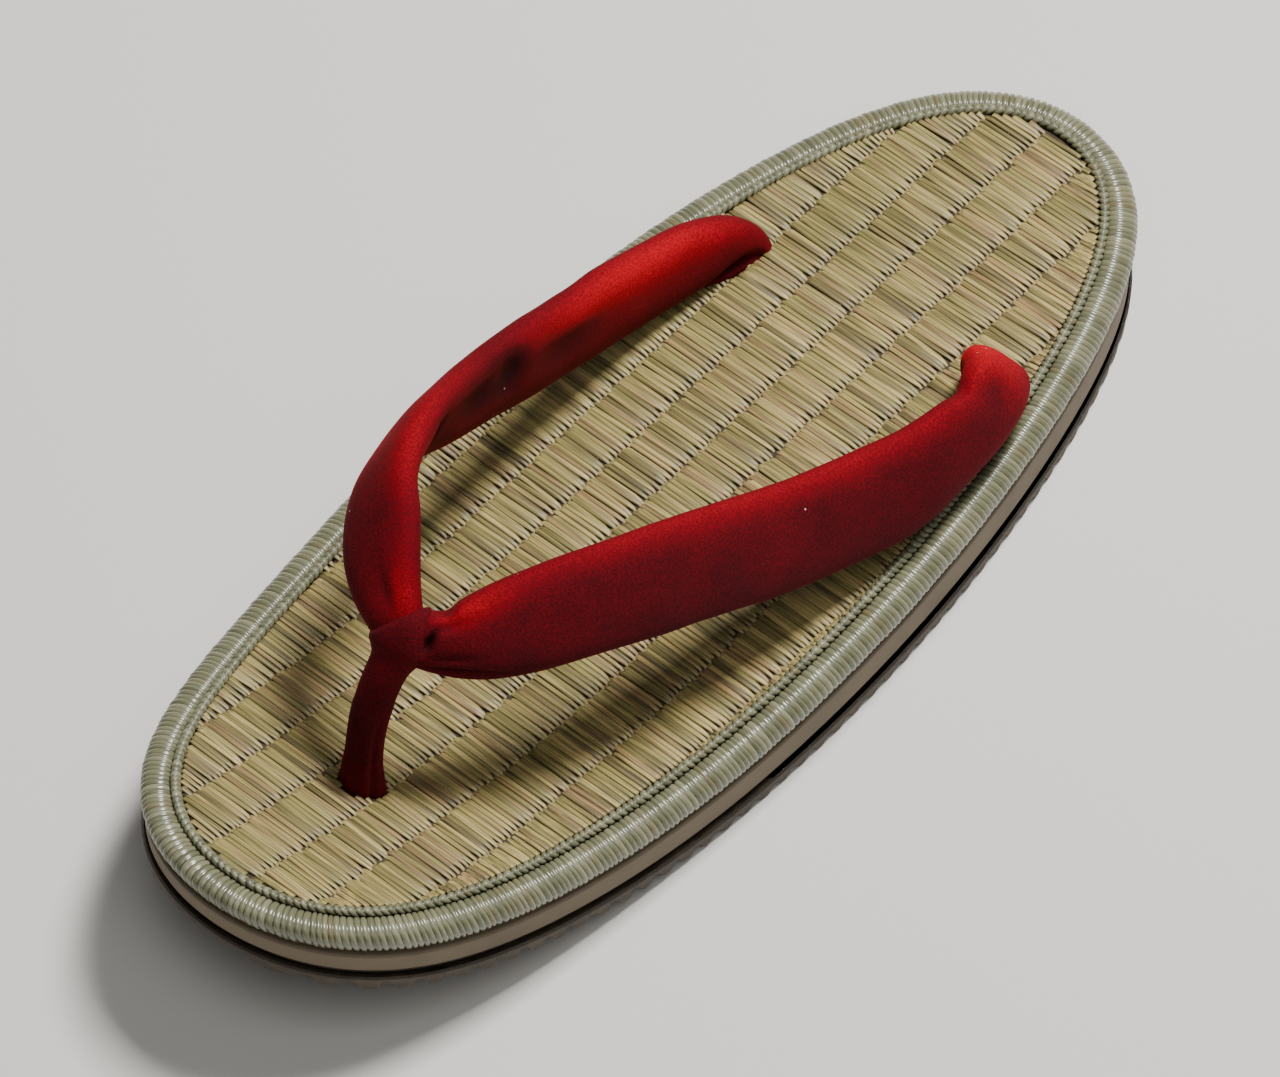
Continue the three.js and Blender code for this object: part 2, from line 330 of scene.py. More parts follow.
@dataclass(frozen=True, kw_only=True)
class WovenRush(Finish):
    """Dried rush strands in straw, olive and brown, with pale bent ends, partly painted highlight, and
    painted shade on tucked ends.
    """

    tones: tuple[tuple[float, str], ...] = (
        (0.0, "#675936"),
        (0.16, "#827544"),
        (0.34, "#958851"),
        (0.52, "#a29157"),
        (0.68, "#b09d64"),
        (0.8, "#a68e5a"),
        (0.9, "#957a50"),
        (1.0, "#776541"),
    )
    patch: Overlay = Overlay("#7d7440", (0.48, 0.72), 0.45)
    patch_mm: float = 26.0
    patch_detail: float = 2.0
    fibre: Shading = Shading((0.38, 0.62), (0.55, 1.2))
    fibre_mm: float = 0.36
    fibre_length_mm: float = 14.0
    fibre_detail: float = 3.0
    # painted shade where the strand's end dips under the next column
    tuck_shade: Overlay = Overlay("#352b18", (0.8, 1.0), 0.85)
    # the pale bent end is partly the rush's own colour and partly a painted highlight on the end that faces
    # the light
    pale_tip_and_highlight: Overlay = Overlay("#c9b68f", (0.14, 0.02), 0.35)
    roughness: float = 0.46
    bump_mm: float = 0.06
    bump_strength: float = 0.6

    def paint(self, tree: NodeTree, shader: Node) -> None:
        """Draws strand tones and fibre streaks, painted shade on the tucked end and a paler bent end, partly
        painted highlight.

        Args:
            tree: The material's node tree.
            shader: Its shader.
        """
        spot = add_node(tree, "ShaderNodeTexCoord")
        strand = add_node(tree, "ShaderNodeSeparateXYZ", inputs={"Vector": spot.outputs["UV"]})
        place = spot.outputs["Object"]
        patch = add_node(
            tree,
            "ShaderNodeTexNoise",
            inputs={"Vector": place, "Scale": per_metre(self.patch_mm), "Detail": self.patch_detail},
        )
        fine = per_metre(self.fibre_mm)
        stretch = add_node(
            tree,
            "ShaderNodeMapping",
            inputs={"Vector": place, "Scale": (per_metre(self.fibre_length_mm), fine, fine)},
        )
        fibre = add_node(
            tree,
            "ShaderNodeTexNoise",
            inputs={"Vector": stretch.outputs["Vector"], "Scale": 1.0, "Detail": self.fibre_detail},
        )
        colour = tone_by_number(tree, strand.outputs["Y"], self.tones)
        colour = self.patch.lay(tree, colour, patch.outputs["Fac"])
        colour = self.fibre.lay(tree, colour, fibre.outputs["Fac"])
        # painted shade on the tucked end, then the pale bent end, partly painted highlight
        colour = self.tuck_shade.lay(tree, colour, strand.outputs["X"])
        colour = self.pale_tip_and_highlight.lay(tree, colour, strand.outputs["X"])
        self.cover(tree, shader, colour, fibre.outputs["Fac"])


@dataclass(frozen=True, kw_only=True)
class WoundRush(Finish):
    """Rush wound tightly round a cord: grey-green turns with a waxy gloss, and painted shade in the lines
    between them.
    """

    tones: tuple[tuple[float, str], ...] = (
        (0.0, "#696950"),
        (0.3, "#757559"),
        (0.6, "#7e7d61"),
        (0.85, "#8a886b"),
        (1.0, "#746b4b"),
    )
    # painted shade in the groove between turns
    groove_shade: Overlay = Overlay("#3d3a2a", (0.16, 0.0), 0.95)
    streak: Shading = Shading((0.3, 0.7), (0.78, 1.1))
    streaks_round: float = 2.2
    streaks_over: float = 9.0
    streak_detail: float = 3.0
    roughness: float = 0.27
    coat: float = 0.35
    coat_roughness: float = 0.22
    bump_mm: float = 0.05

    def paint(self, tree: NodeTree, shader: Node) -> None:
        """Draws a tone for each turn and streaks round it, and paints shade into the line between turns.

        Args:
            tree: The material's node tree.
            shader: Its shader.
        """
        spot = add_node(tree, "ShaderNodeTexCoord").outputs["UV"]
        turn = add_node(tree, "ShaderNodeSeparateXYZ", inputs={"Vector": spot}).outputs["Y"]
        stretch = add_node(
            tree,
            "ShaderNodeMapping",
            inputs={"Vector": spot, "Scale": (self.streaks_round, self.streaks_over, 1.0)},
        )
        streak = add_node(
            tree,
            "ShaderNodeTexNoise",
            inputs={"Vector": stretch.outputs["Vector"], "Scale": 1.0, "Detail": self.streak_detail},
        )
        half_turn = 0.5
        from_line = add_node(tree, "ShaderNodeMath", {"operation": "PINGPONG"}, {0: turn, 1: half_turn})
        colour = tone_by_number(tree, turn, self.tones)
        colour = self.streak.lay(tree, colour, streak.outputs["Fac"])
        colour = self.groove_shade.lay(tree, colour, from_line.outputs[0])
        self.cover(tree, shader, colour, streak.outputs["Fac"])
        shader.inputs["Coat Weight"].default_value = self.coat
        shader.inputs["Coat Roughness"].default_value = self.coat_roughness


@dataclass(frozen=True, kw_only=True)
class MottledSolid(Finish):
    """A plain moulded or cut material with a mottled tone, a fine grain and stains."""

    main_tone: str
    mottle: Overlay
    stain: Overlay
    mottle_mm: float
    mottle_detail: float = 4.0
    stain_scale: float = 2.4
    stain_place: float = 3.0
    stain_detail: float = 5.0
    grain_mm: float = 0.5
    grain_detail: float = 2.0
    bump_mm: float = 0.08

    def paint(self, tree: NodeTree, shader: Node) -> None:
        """Mixes two tones in soft patches, lays stains over them and roughens the surface with grain.

        Args:
            tree: The material's node tree.
            shader: Its shader.
        """
        spot = add_node(tree, "ShaderNodeTexCoord").outputs["Object"]
        wide = per_metre(self.mottle_mm)
        mottle = add_node(
            tree, "ShaderNodeTexNoise", inputs={"Vector": spot, "Scale": wide, "Detail": self.mottle_detail}
        )
        stain = add_node(
            tree,
            "ShaderNodeTexNoise",
            {"noise_dimensions": "4D"},
            {
                "Vector": spot,
                "W": self.stain_place,
                "Scale": self.stain_scale * wide,
                "Detail": self.stain_detail,
            },
        )
        grain = add_node(
            tree,
            "ShaderNodeTexNoise",
            inputs={"Vector": spot, "Scale": per_metre(self.grain_mm), "Detail": self.grain_detail},
        )
        colour = self.mottle.lay(tree, linear(self.main_tone), mottle.outputs["Fac"])
        colour = self.stain.lay(tree, colour, stain.outputs["Fac"])
        self.cover(tree, shader, colour, grain.outputs["Fac"])


@dataclass(frozen=True, kw_only=True)
class Velvet(Finish):
    """Red cotton velvet: a short maroon pile that glows red at a slant, with painted shade and painted
    highlights.
    """

    deep_tone: str = "#400008"
    nap: Overlay = Overlay("#5e000b", (0.3, 0.7))
    # painted shade, laid in the folds' creases and on the stem where the first pattern coordinate is above 0
    painted_shade: Overlay = Overlay("#170003", most=0.97)
    # painted highlight, laid where a fold's painted_shade is below 0
    painted_highlight: Overlay = Overlay("#b00016", (0.0, -1.0))
    grain: Shading = Shading((0.4, 0.6), (0.74, 1.2))
    patch_mm: float = 11.0
    patch_detail: float = 3.0
    patch_swirl: float = 0.6
    pile_mm: float = 0.4
    pile_detail: float = 2.0
    pile_share: float = 0.4
    lint_tone: str = "#f0d8d2"
    lint_mm: float = 7.0
    lint_size_mm: float = 0.22
    lint_most: float = 0.8
    gloss: float = 0.15
    sheen: float = 0.12
    sheen_roughness: float = 0.35
    sheen_tint: str = "#ff0420"
    roughness: float = 0.9
    bump_mm: float = 0.12

    def paint(self, tree: NodeTree, shader: Node) -> None:
        """Mixes patches and pile grain, lays the painted shade and highlights that the folds and the stem
        carry, and scatters specks of lint.

        Args:
            tree: The material's node tree.
            shader: Its shader.
        """
        spot = add_node(tree, "ShaderNodeTexCoord")
        place = spot.outputs["Object"]
        # the first pattern coordinate holds painted shade, or painted highlight where it is below 0
        pressed = add_node(tree, "ShaderNodeSeparateXYZ", inputs={"Vector": spot.outputs["UV"]}).outputs["X"]
        patch = add_node(
            tree,
            "ShaderNodeTexNoise",
            inputs={
                "Vector": place,
                "Scale": per_metre(self.patch_mm),
                "Detail": self.patch_detail,
                "Distortion": self.patch_swirl,
            },
        ).outputs["Fac"]
        pile = add_node(
            tree,
            "ShaderNodeTexNoise",
            inputs={"Vector": place, "Scale": per_metre(self.pile_mm), "Detail": self.pile_detail},
        ).outputs["Fac"]
        both = add_node(
            tree, "ShaderNodeMix", {"data_type": "FLOAT"}, {"Factor": self.pile_share, "A": patch, "B": pile}
        )
        speck = add_node(
            tree, "ShaderNodeTexVoronoi", inputs={"Vector": place, "Scale": per_metre(self.lint_mm)}
        )
        lint_edge = self.lint_size_mm / self.lint_mm
        lint = Overlay(self.lint_tone, (lint_edge, lint_edge / 2), self.lint_most)
        colour = self.nap.lay(tree, linear(self.deep_tone), both.outputs["Result"])
        # painted shade from the folds and the stem
        colour = self.painted_shade.lay(tree, colour, pressed)
        # painted highlight where the folds' painted_shade is below 0
        colour = self.painted_highlight.lay(tree, colour, pressed)
        colour = self.grain.lay(tree, colour, pile)
        colour = lint.lay(tree, colour, speck.outputs["Distance"])
        self.cover(tree, shader, colour, pile)
        shader.inputs["Specular IOR Level"].default_value = self.gloss
        shader.inputs["Sheen Weight"].default_value = self.sheen
        shader.inputs["Sheen Roughness"].default_value = self.sheen_roughness
        shader.inputs["Sheen Tint"].default_value = linear(self.sheen_tint)


@dataclass(frozen=True)
class Piece:
    """How a finished mesh is named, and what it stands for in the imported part."""

    name: str
    slot: str
    replaced: tuple[str, ...] = ()

    def finish(self, shape: BMesh, finish: Finish) -> Object:
        """Turns a mesh in millimetres to an object in metres that rides on the sandal.

        Args:
            shape: The mesh, which is freed.
            finish: The finish of its surface.

        Returns:
            The new object.
        """
        bmesh.ops.recalc_face_normals(shape, faces=shape.faces)
        bmesh.ops.scale(shape, vec=(METRES_PER_MM,) * 3, verts=shape.verts)
        mesh = settled(shape, self.name)
        mesh.shade_smooth()
        mesh.materials.append(finish.make())
        thing = add_object(self.name, mesh)
        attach(thing, BODY)
        if self.replaced:
            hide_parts(*self.replaced)
        LOG.info("%s: %d faces", self.name, len(mesh.polygons))
        return thing


@dataclass(frozen=True)
class SoleForm:
    """The sole's outline and its side shape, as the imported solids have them."""

    half_length: float = 113.0
    lean: float = 1.5
    bluntness: float = -1.5
    width_terms: tuple[float, ...] = (40.2, 1.5, 1.45, 0.45, 0.65)
    heel_swing: float = 2.2
    thickness: float = 19.4
    taper: float = 0.022
    spring_start: float = 22.6
    spring_reach: float = 90.4
    spring_rise: float = 19.2

    def swing(self, y: float) -> float:
        """How far the sole's middle line is to the wearer's left at a place along the sandal."""
        return self.heel_swing * min(0.0, y / self.half_length) ** 2

    def spring(self, y: float) -> float:
        """The underside's height off the floor at a place along the sandal."""
        return self.spring_rise * max(0.0, (y - self.spring_start) / self.spring_reach) ** 2

    def flat_plane(self, y: float) -> float:
        """The height of the mat's flat plane, before the toe spring."""
        return self.thickness - self.taper * y

    def mat_top(self, y: float) -> float:
        """The height of the mat's top."""
        return self.spring(y) + self.flat_plane(y)

    def edge(self, angle: float, beyond: float) -> Vector:
        """A point of the outline in plan.

        Args:
            angle: The angle round the outline, from 0 at the toe to pi at the heel.
            beyond: How far out from the mat's edge.

        Returns:
            The point, with x and y.
        """
        x = sum(size * math.sin((k + 1) * angle) for k, size in enumerate(self.width_terms))
        x_rate = sum(size * (k + 1) * math.cos((k + 1) * angle) for k, size in enumerate(self.width_terms))
        length = self.half_length - self.bluntness
        y = length * math.cos(angle) + self.lean * (math.cos(2 * angle) - 1)
        y += self.bluntness * math.cos(3 * angle)
        y_rate = -length * math.sin(angle) - 2 * self.lean * math.sin(2 * angle)
        y_rate -= 3 * self.bluntness * math.sin(3 * angle)
        outward = Vector((-y_rate, x_rate)).normalized()
        spot = Vector((x, y)) + beyond * outward
        return spot - Vector((self.swing(spot.y), 0.0))

    def half_width(self, y: float) -> float:
        """Finds half the mat's width.

        Args:
            y: The place along the sandal.

        Returns:
            Half the width, or 0 past the mat's ends.
        """
        low, high = 0.0, math.pi
        if not self.edge(high, 0.0).y < y < self.edge(low, 0.0).y:
            return 0.0
        for _ in range(HALVINGS):
            middle = (low + high) / 2
            if self.edge(middle, 0.0).y > y:
                low = middle
            else:
                high = middle
        return self.edge(low, 0.0).x + self.swing(y)


class EdgePath:
    """A line round the sole at some distance beyond the mat, measured by its share of the whole length."""

    def __init__(self, form: SoleForm, beyond: float, steps: int = 1440) -> None:
        """Measures the line.

        Args:
            form: The sole's form.
            beyond: How far out from the mat's edge the line runs.
            steps: How many straight steps measure it.
        """
        self.angles = [2 * math.pi * step / steps for step in range(steps + 1)]
        self.lengths = [0.0]
        corners = []
        for angle in self.angles:
            spot = form.edge(angle, beyond)
            corners.append(Vector((spot.x, spot.y, form.mat_top(spot.y))))
        for before, after in zip(corners, corners[1:]):
            self.lengths.append(self.lengths[-1] + (after - before).length)
        self.length = self.lengths[-1]

    def angle(self, distance: float) -> float:
        """Finds the outline's angle at a place on the line.

        Args:
            distance: The distance along the line, which may pass its ends.

        Returns:
            The angle.
        """
        rounds, rest = divmod(distance, self.length)
        index = min(bisect.bisect_right(self.lengths, rest), len(self.lengths) - 1)
        start, end = self.lengths[index - 1], self.lengths[index]
        share = (rest - start) / (end - start)
        step = self.angles[index] - self.angles[index - 1]
        return self.angles[index - 1] + share * step + 2 * math.pi * rounds


@dataclass(frozen=True)
class LayerRow:
    """One edge of a sole layer: how far beyond the mat it is, and its height at a place along the sandal."""

    beyond: float
    height: Callable[[float], float]


@dataclass
class SoleLayer:
    """A layer of the sole, drawn out from a sheet across it."""

    form: SoleForm
    rows: int
    columns: int

    def build(self, profile: Sequence[LayerRow]) -> BMesh:
        """Draws the layer up from its lower face, edge by edge.

        Args:
            profile: The edges in order, from the lower face's to the upper face's.

        Returns:
            The closed mesh.
        """
        shape = bmesh.new()
        shape.loops.layers.uv.new("strand")
        bmesh.ops.create_grid(shape, x_segments=self.columns, y_segments=self.rows, size=GRID_HALF)
        turn = shape.verts.layers.float.new("turn")
        share = shape.verts.layers.float.new("share")
        for vert in shape.verts:
            vert[share] = vert.co.x / GRID_HALF
            vert[turn] = math.pi * (vert.co.y + GRID_HALF)
        faces = list(shape.faces)
        for index, row in enumerate(profile):
            if index > 0:
                drawn = bmesh.ops.extrude_face_region(shape, geom=faces)["geom"]
                faces = [item for item in drawn if isinstance(item, BMFace)]
            for vert in {corner for face in faces for corner in face.verts}:
                spot = self.form.edge(vert[turn], row.beyond)
                swing = self.form.swing(spot.y)
                vert.co = Vector((vert[share] * (spot.x + swing) - swing, spot.y, row.height(spot.y)))
        bmesh.ops.remove_doubles(shape, verts=shape.verts, dist=WELD_DISTANCE)
        return shape


@dataclass
class Outsole:
    """The ribbed rubber outsole, with the recessed step that shows as a dark line above its side."""

    form: SoleForm
    height: float = 4.6
    side_height: float = 3.5
    reach: float = 7.7
    step_inset: float = 1.4
    edge_round: float = 0.45
    wall_left: float = 1.0
    rib_pitch: float = 4.9
    rib_depth: float = 1.6
    groove_mouth: float = 3.2
    groove_floor: float = 1.2
    rows: int = 640
    columns: int = 6
    finish: Finish = MottledSolid(
        name="moulded_sponge_rubber",
        main_tone="#4c4133",
        mottle=Overlay("#3b3228"),
        stain=Overlay("#65573f", STAIN_REACH, 0.5),
        mottle_mm=9.0,
        grain_mm=0.8,
        roughness=0.7,
        bump_mm=0.15,
    )

    def underside(self, y: float) -> float:
        """Finds the underside's height: the toe spring, raised in the grooves between the ribs.

        Args:
            y: The place along the sandal.

        Returns:
            The height.
        """
        part = (y / self.rib_pitch) % 1.0
        from_groove = abs(part - 0.5) * self.rib_pitch
        rise = 1.0 - smooth_step(self.groove_floor / 2, self.groove_mouth / 2, from_groove)
        return self.form.spring(y) + self.rib_depth * rise

    def build(self) -> None:
        """Makes the outsole and gives it its finish."""
        side, edge = self.side_height, self.edge_round
        highest = side - self.wall_left
        inner = self.reach - self.step_inset
        spring = self.form.spring
        profile = [
            LayerRow(self.reach - edge, self.underside),
            LayerRow(self.reach, lambda y: min(self.underside(y) + edge, spring(y) + highest)),
            LayerRow(self.reach, lambda y: spring(y) + side - edge),
            LayerRow(self.reach - edge, lambda y: spring(y) + side),
            LayerRow(inner, lambda y: spring(y) + side),
            LayerRow(inner, lambda y: spring(y) + self.height),
        ]
        shape = SoleLayer(self.form, self.rows, self.columns).build(profile)
        Piece("outsole_ribbed_rubber", "outsole", ("outsole",)).finish(shape, self.finish)


@dataclass
class Midsole:
    """The foam midsole, a wedge with smooth cut walls that thins to the toe."""

    form: SoleForm
    lower: float = 4.9
    below_mat: float = 7.2
    reach: float = 7.0
    edge_round: float = 0.5
    rows: int = 360
    columns: int = 2
    finish: Finish = MottledSolid(
        name="cut_closed_cell_foam",
        main_tone="#7d6f5b",
        mottle=Overlay("#6a5d4a"),
        stain=Overlay("#4a4031", STAIN_REACH, 0.35),
        mottle_mm=22.0,
        grain_mm=0.45,
        roughness=0.82,
        bump_mm=0.06,
    )

    def build(self) -> None:
        """Makes the midsole and gives it its finish."""
        low, high, edge = self.lower, self.below_mat, self.edge_round
        spring, top = self.form.spring, self.form.mat_top
        profile = [
            LayerRow(self.reach - edge, lambda y: spring(y) + low),
            LayerRow(self.reach, lambda y: spring(y) + low + edge),
            LayerRow(self.reach, lambda y: top(y) - high - edge),
            LayerRow(self.reach - edge, lambda y: top(y) - high),
        ]
        shape = SoleLayer(self.form, self.rows, self.columns).build(profile)
        Piece("midsole_foam", "midsole", ("midsole",)).finish(shape, self.finish)


@dataclass
class WoundCord:
    """A cord that runs round the mat's edge, wound with turns of rush of uneven width."""

    form: SoleForm
    piece: Piece
    finish: Finish
    radius: float
    beyond: float
    below: float
    turn_pitch: float
    groove_depth: float
    sides: int
    seed: int
    slant: float = 0.5
    unevenness: float = 0.22
    crown_change: float = 0.07
    bulge: float = 0.0
    bulge_turn: float = 125.0
    bulge_spread: float = 36.0
    phases: tuple[float, ...] = (0.0, 0.2, 0.5, 0.8)
    phase_drops: tuple[float, ...] = (1.0, 0.16, 0.0, 0.16)

    def build(self) -> None:
        """Winds the cord and gives it its finish."""
        draws = random.Random(self.seed)
        path = EdgePath(self.form, self.beyond)
        count = round(path.length / self.turn_pitch)
        widths = [1.0 + draws.uniform(-self.unevenness, self.unevenness) for _ in range(count)]
        crowns = [draws.uniform(-self.crown_change, self.crown_change) for _ in range(count)]
        starts = [0.0]
        for width in widths:
            starts.append(starts[-1] + width)
        unit = path.length / starts[-1]
        parts = len(self.phases)

        def station(along: float) -> tuple[int, int]:
            """Gives the number of the turn, and of the part of it."""
            return divmod(round(along * count * parts), parts)

        def place(around: float, along: float) -> Vector:
            """Puts a corner of the winding in its place.

            Args:
                around: The share round the cord.
                along: The share along the cord.

            Returns:
                The corner's place.
            """
            turn, part = station(along)
            turn %= count
            distance = unit * (starts[turn] + self.phases[part] * widths[turn])
            radius = self.radius + crowns[turn] * (part > 0) - self.groove_depth * self.phase_drops[part]
            angle = -2 * math.pi * around
            from_bulge = (math.degrees(angle) - self.bulge_turn) % 360.0
            from_bulge = min(from_bulge, 360.0 - from_bulge)
            radius += self.bulge * math.exp(-((from_bulge / self.bulge_spread) ** 2))
            distance += self.slant * math.sin(angle)
            spot = self.form.edge(path.angle(distance), self.beyond + radius * math.cos(angle))
            height = self.form.mat_top(spot.y) - self.below + radius * math.sin(angle)
            return Vector((spot.x, spot.y, height))

        def pattern(around: float, along: float) -> tuple[float, float]:
            """Gives a share round the cord, and the number of the turn with the share over it."""
            turn, part = station(along)
            return (around, turn + self.phases[part])

        shape = mapped_grid(self.sides, count * parts, place, pattern)
        self.piece.finish(shape, self.finish)


@dataclass(frozen=True)
class StrapRow:
    """One section of a padded strip: its centre, its rise above the mat's plane, its size and its tilt."""

    x: float
    y: float
    rise: float
    width: float
    thick: float
    tilt: float = 0.0


@dataclass(frozen=True)
class Fold:
    """A soft trough, or a ridge where its depth is below 0, laid on a strip.

    The row counts along the strip's table. The turn goes round the strip, with 0 at its upper edge and 90 on
    its outer face. The slant moves the fold along as it goes round, in rows for each 90 degrees. The painted
    shade is the share of dark tone painted at its middle as shade, or of bright tone painted as a highlight
    where it is below 0.
    """

    row: float
    turn: float
    rows: float
    spread: float
    depth: float = 0.0
    slant: float = 0.0
    painted_shade: float = 0.0

    def share(self, row: float, turn: float) -> float:
        """Finds how much of the fold is felt at a place on the strip.

        Args:
            row: The place along the strip's table.
            turn: The angle round the strip.

        Returns:
            The share, from 1 at the fold's middle to 0 well away.
        """
        around = (math.degrees(turn) - self.turn + 180.0) % 360.0 - 180.0
        along = row - self.row - self.slant * around / 90.0
        size = (along / self.rows) ** 2 + (around / self.spread) ** 2
        return math.exp(-size) if size < FOLD_END**2 else 0.0


@dataclass(frozen=True)
class Section:
    """A strip's section: its centre, the two ways across it, and its sizes."""

    centre: Vector
    width_way: Vector
    thick_way: Vector
    width: float
    thick: float


@dataclass
class PaddedStrip:
    """A padded strip of cloth that follows a table of sections."""

    form: SoleForm
    table: Sequence[StrapRow]
    folds: Sequence[Fold] = ()
    squareness: float = 2.5
    lumps: float = 0.22
    lump_mm: float = 9.0
    lies: WidthWay = WidthWay.TILTED
    step: float = 0.02
    known: dict[float, Section] = field(default_factory=dict)

    def blended(self, row: float, read: Callable[[StrapRow], float]) -> float:
        """Finds a size between the table's rows, on a smooth curve through them.

        Args:
            row: The place along the table.
            read: Reads the size from a row.

        Returns:
            The size.
        """
        index = min(int(row), len(self.table) - 2)
        share = row - index
        spots = [self.table[min(max(index + k, 0), len(self.table) - 1)] for k in (-1, 0, 1, 2)]
        before, start, end, after = (read(spot) for spot in spots)
        bend = 2 * before - 5 * start + 4 * end - after
        turn = -before + 3 * start - 3 * end + after
        return start + 0.5 * share * ((end - before) + share * (bend + share * turn))

    def centre(self, row: float) -> Vector:
        """Finds the middle of the strip.

        Args:
            row: The place along the strip's table.

        Returns:
            The middle.
        """
        x = self.blended(row, lambda spot: spot.x)
        y = self.blended(row, lambda spot: spot.y)
        height = self.blended(row, lambda spot: self.form.flat_plane(spot.y) + spot.rise)
        return Vector((x, y, height))

    def section(self, row: float) -> Section:
        """Gives the strip's section, which is worked out once for each place.

        Args:
            row: The place along the strip's table.

        Returns:
            The section.
        """
        if row not in self.known:
            self.known[row] = self.new_section(row)
        return self.known[row]

    def new_section(self, row: float) -> Section:
        """Works out the strip's section.

        Args:
            row: The place along the strip's table.

        Returns:
            The section.
        """
        last = len(self.table) - 1.0
        ahead = self.centre(min(row + self.step, last))
        way = (ahead - self.centre(max(row - self.step, 0.0))).normalized()
        if self.lies is WidthWay.LEVEL:
            width_way = ACROSS
        else:
            inward = way.cross(UP).normalized()
            above = inward.cross(way)
            tilt = math.radians(self.blended(row, lambda spot: spot.tilt))
            width_way = math.cos(tilt) * inward + math.sin(tilt) * above
        return Section(
            self.centre(row),
            width_way,
            width_way.cross(way).normalized(),
            self.blended(row, lambda spot: spot.width),
            self.blended(row, lambda spot: spot.thick),
        )

    def pressed(self, row: float, turn: float) -> float:
        """How far the folds press in at a place on the strip."""
        return sum(fold.depth * fold.share(row, turn) for fold in self.folds)

    def painted_shade_at(self, row: float, turn: float) -> float:
        """How much shade is painted at a place on the strip, or how much highlight if below 0."""
        return sum(fold.painted_shade * fold.share(row, turn) for fold in self.folds)

    def point(self, row: float, turn: float, grow: float) -> Vector:
        """A point on the strip's surface.

        Args:
            row: The place along the strip's table.
            turn: The angle round the strip, with 0 at its upper edge.
            grow: How far the surface is moved out.

        Returns:
            The point.
        """
        section = self.section(row)
        power = 2.0 / self.squareness
        side = math.copysign(abs(math.cos(turn)) ** power, math.cos(turn))
        face = math.copysign(abs(math.sin(turn)) ** power, math.sin(turn))
        out = section.width_way * side * (section.width / 2 + grow)
        out += section.thick_way * face * (section.thick / 2 + grow)
        spot = section.centre + out
        lump = self.lumps * noise.noise(spot / self.lump_mm)
        away = (section.width_way * math.cos(turn) + section.thick_way * math.sin(turn)).normalized()
        return spot + away * (lump - self.pressed(row, turn))

    def tube(
        self,
        sides: int,
        steps: int,
        row_at: Callable[[float, float], float],
        grow: Callable[[float], float],
    ) -> BMesh:
        """Makes a closed tube along part of the strip.

        Args:
            sides: The number of faces round it.
            steps: The number of faces along it.
            row_at: The table row of a corner, from its share along the tube and its angle round it.
            grow: How far the surface is moved out, from the share along the tube.

        Returns:
            The mesh, with its painted shade, or painted highlight where below 0, as the first pattern
            coordinate.
        """

        def place(around: float, along: float) -> Vector:
            """Puts a corner on the strip's surface."""
            turn = -2 * math.pi * around
            return self.point(row_at(along, turn), turn, grow(along))

        def nap(around: float, along: float) -> tuple[float, float]:
            """Gives how much shade is painted there, or highlight where below 0, and the share along."""
            turn = -2 * math.pi * around
            return (self.painted_shade_at(row_at(along, turn), turn), along)

        shape = mapped_grid(sides, steps, place, nap)
        close_ends(shape)
        return shape

    def whole_tube(self, sides: int, steps: int) -> BMesh:
        """Makes a closed tube along the whole strip."""
        last = len(self.table) - 1.0
        return self.tube(sides, steps, lambda along, turn: along * last, lambda along: 0.0)

    def hole(self, row: float, grow: float, corners: int = 24) -> list[Vector]:
        """The outline in plan that the strip needs where it goes through the mat."""
        return [self.point(row, 2 * math.pi * corner / corners, grow) for corner in range(corners)]


THONG_TABLE = (
    StrapRow(-27.6, -61.6, -4.2, 9.4, 6.0, 14.0),
    StrapRow(-28.2, -60.8, 0.8, 10.6, 6.6, 16.0),
    StrapRow(-31.0, -58.0, 8.2, 13.6, 7.2, 31.0),
    StrapRow(-34.2, -53.0, 11.2, 14.5, 7.2, 46.0),
    StrapRow(-36.2, -44.4, 12.1, 15.5, 7.0, 60.0),
    StrapRow(-36.0, -32.0, 12.6, 18.0, 7.0, 60.0),
    StrapRow(-34.2, -20.6, 14.0, 19.5, 7.0, 57.0),
    StrapRow(-30.0, 0.0, 20.4, 19.5, 7.0, 54.0),
    StrapRow(-25.3, 20.0, 28.8, 19.5, 7.0, 52.0),
    StrapRow(-19.6, 38.5, 34.6, 19.0, 7.0, 50.0),
    StrapRow(-12.2, 54.5, 36.6, 17.0, 7.4, 50.0),
    StrapRow(-6.2, 63.2, 36.8, 11.8, 7.2, 52.0),
    StrapRow(0.0, 67.0, 36.6, 9.5, 6.6, 54.0),
    StrapRow(6.2, 64.8, 39.4, 12.5, 7.2, 50.0),
    StrapRow(13.6, 58.0, 44.2, 16.8, 7.2, 50.0),
    StrapRow(19.6, 50.5, 46.0, 16.8, 7.0, 56.0),
    StrapRow(24.0, 38.0, 42.8, 17.4, 7.0, 70.0),
    StrapRow(26.6, 21.5, 34.1, 18.4, 7.0, 85.0),
    StrapRow(27.8, 7.0, 27.2, 19.0, 7.0, 91.0),
    StrapRow(28.6, -6.6, 20.6, 19.0, 7.0, 93.0),
    StrapRow(29.2, -19.0, 15.6, 18.5, 7.2, 96.0),
    StrapRow(29.0, -30.5, 11.2, 16.5, 7.4, 100.0),
    StrapRow(28.2, -40.5, 8.4, 14.8, 7.6, 106.0),
    StrapRow(26.8, -48.2, 5.2, 13.5, 7.6, 102.0),
    StrapRow(25.6, -53.4, 0.3, 12.5, 7.0, 92.0),
    StrapRow(25.0, -55.0, -4.2, 12.0, 6.2, 88.0),
)
